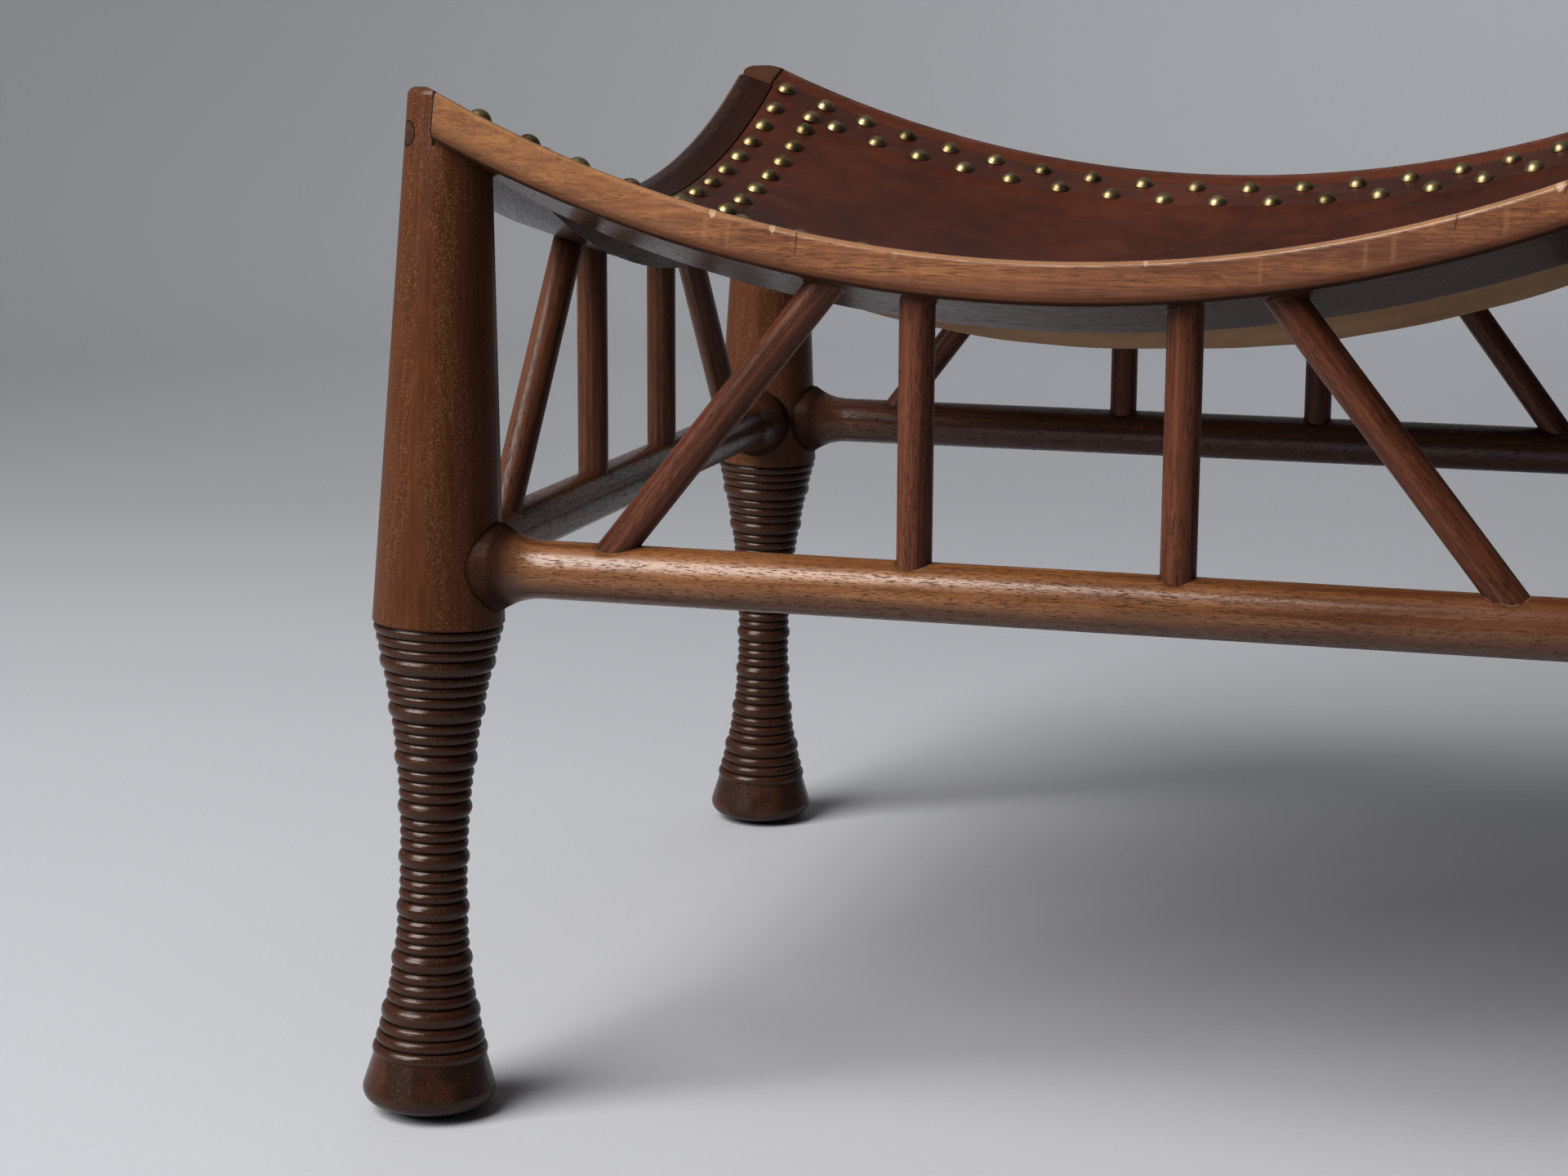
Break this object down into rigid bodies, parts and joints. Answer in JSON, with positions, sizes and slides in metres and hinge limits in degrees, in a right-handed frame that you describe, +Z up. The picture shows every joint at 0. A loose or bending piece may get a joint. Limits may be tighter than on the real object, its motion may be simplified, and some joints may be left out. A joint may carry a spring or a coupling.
{
  "type": "thebes stool",
  "caption": "Low square stool with splayed bead-turned legs, flared round stretchers, slanting spindles and a dished frame that holds a nailed leather seat.",
  "frame": {"origin": "middle of the stool's box on the floor plane", "axes": "+Z up from the floor, +X to the right along the front, +Y from the front to the back"},
  "size_m": [0.4986, 0.476, 0.3718],
  "materials": {
    "leg_wood": "dark reddish-brown hardwood, turned and polished, with pale pore flecks",
    "stretcher_wood": "golden-brown turned hardwood, polished",
    "rail_wood": "honey-brown hardwood with short dark pores, waxed and worn pale on the edges",
    "spindle_wood": "dark brown turned hardwood, polished",
    "peg_wood": "near-black wood, cut flush",
    "leather": "dark oxblood hide with a soft sheen, tan and fibrous underneath",
    "brass": "antique brass, darkened and glossy"
  },
  "bodies": {
    "root": {"leg_front_left": "leg_wood", "leg_front_right": "leg_wood", "leg_back_left": "leg_wood", "leg_back_right": "leg_wood", "stretcher_front": "stretcher_wood", "stretcher_back": "stretcher_wood", "stretcher_left": "stretcher_wood", "stretcher_right": "stretcher_wood", "rail_front": "rail_wood", "rail_back": "rail_wood", "rail_left": "rail_wood", "rail_right": "rail_wood", "spindle_front_1": "spindle_wood", "spindle_front_2": "spindle_wood", "spindle_front_3": "spindle_wood", "spindle_front_4": "spindle_wood", "spindle_back_1": "spindle_wood", "spindle_back_2": "spindle_wood", "spindle_back_3": "spindle_wood", "spindle_back_4": "spindle_wood", "spindle_left_1": "spindle_wood", "spindle_left_2": "spindle_wood", "spindle_left_3": "spindle_wood", "spindle_left_4": "spindle_wood", "spindle_right_1": "spindle_wood", "spindle_right_2": "spindle_wood", "spindle_right_3": "spindle_wood", "spindle_right_4": "spindle_wood", "peg_front_left": "peg_wood", "peg_front_right": "peg_wood", "peg_back_left": "peg_wood", "peg_back_right": "peg_wood", "seat_leather": "leather", "nails_front_outer": "brass", "nails_front_inner": "brass", "nails_back_outer": "brass", "nails_back_inner": "brass", "nails_left_outer": "brass", "nails_left_inner": "brass", "nails_right_outer": "brass", "nails_right_inner": "brass"}
  },
  "joints": []
}
